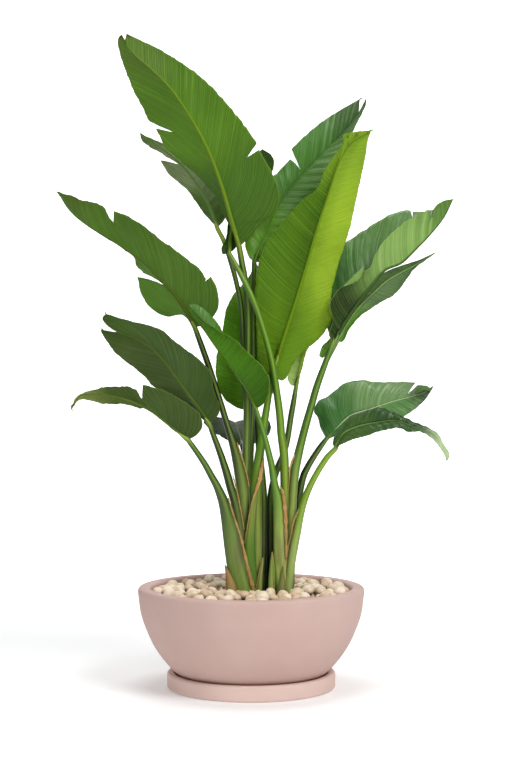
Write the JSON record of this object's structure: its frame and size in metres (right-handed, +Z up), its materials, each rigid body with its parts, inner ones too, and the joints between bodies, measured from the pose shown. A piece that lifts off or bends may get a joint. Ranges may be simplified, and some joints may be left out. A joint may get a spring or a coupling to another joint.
{
  "type": "potted bird of paradise",
  "caption": "Tall potted bird of paradise: torn paddle leaves on long stalks, in a round matte bowl with pebbles and a saucer, that stands on a floor as greenery.",
  "frame": {"origin": "centre of the saucer's underside, on the floor", "axes": "+Z up from the floor, +Y away from the viewer of the picture, +X to the viewer's right along the fan of leaves"},
  "size_m": [0.7781, 0.5562, 1.2791],
  "materials": {
    "pot_ware": "blush-pink fibre-clay, matte, faintly mottled",
    "soil": "damp dark potting soil, rough",
    "pebble": "cream river stones, smooth with a low polish",
    "leaf_mid_green": "living leaf, mid green, satin, close side veins",
    "leaf_deep_green": "living leaf, deep green, waxy sheen, close side veins",
    "leaf_lime_green": "young living leaf, lime green, light shows through it",
    "leaf_olive_green": "living leaf, olive underside, dull",
    "leaf_grey_green": "living leaf, pale grey-green underside, dull",
    "husk": "dry tan papery leaf sheath"
  },
  "bodies": {
    "root": {"saucer": "pot_ware", "bowl": "pot_ware", "soil": "soil", "pebble_dressing": "pebble", "leaf_tall_left": "leaf_mid_green", "leaf_rolled_left": "leaf_deep_green", "leaf_narrow_left": "leaf_deep_green", "leaf_upper_right": "leaf_deep_green", "leaf_middle_bright": "leaf_lime_green", "leaf_right_folded": "leaf_deep_green", "leaf_right_under": "leaf_olive_green", "leaf_low_right_upper": "leaf_deep_green", "leaf_low_right_drooping": "leaf_deep_green", "leaf_left_upper": "leaf_olive_green", "leaf_left_middle": "leaf_olive_green", "leaf_left_low": "leaf_olive_green", "leaf_front_folded": "leaf_mid_green", "leaf_behind_stalks": "leaf_mid_green", "leaf_pale_right": "leaf_grey_green", "leaf_low_back": "leaf_grey_green", "old_leaf_stub": "husk", "sheath_wedge_middle": "leaf_mid_green", "sheath_wedge_right": "husk", "young_shoot": "leaf_lime_green"}
  },
  "joints": []
}
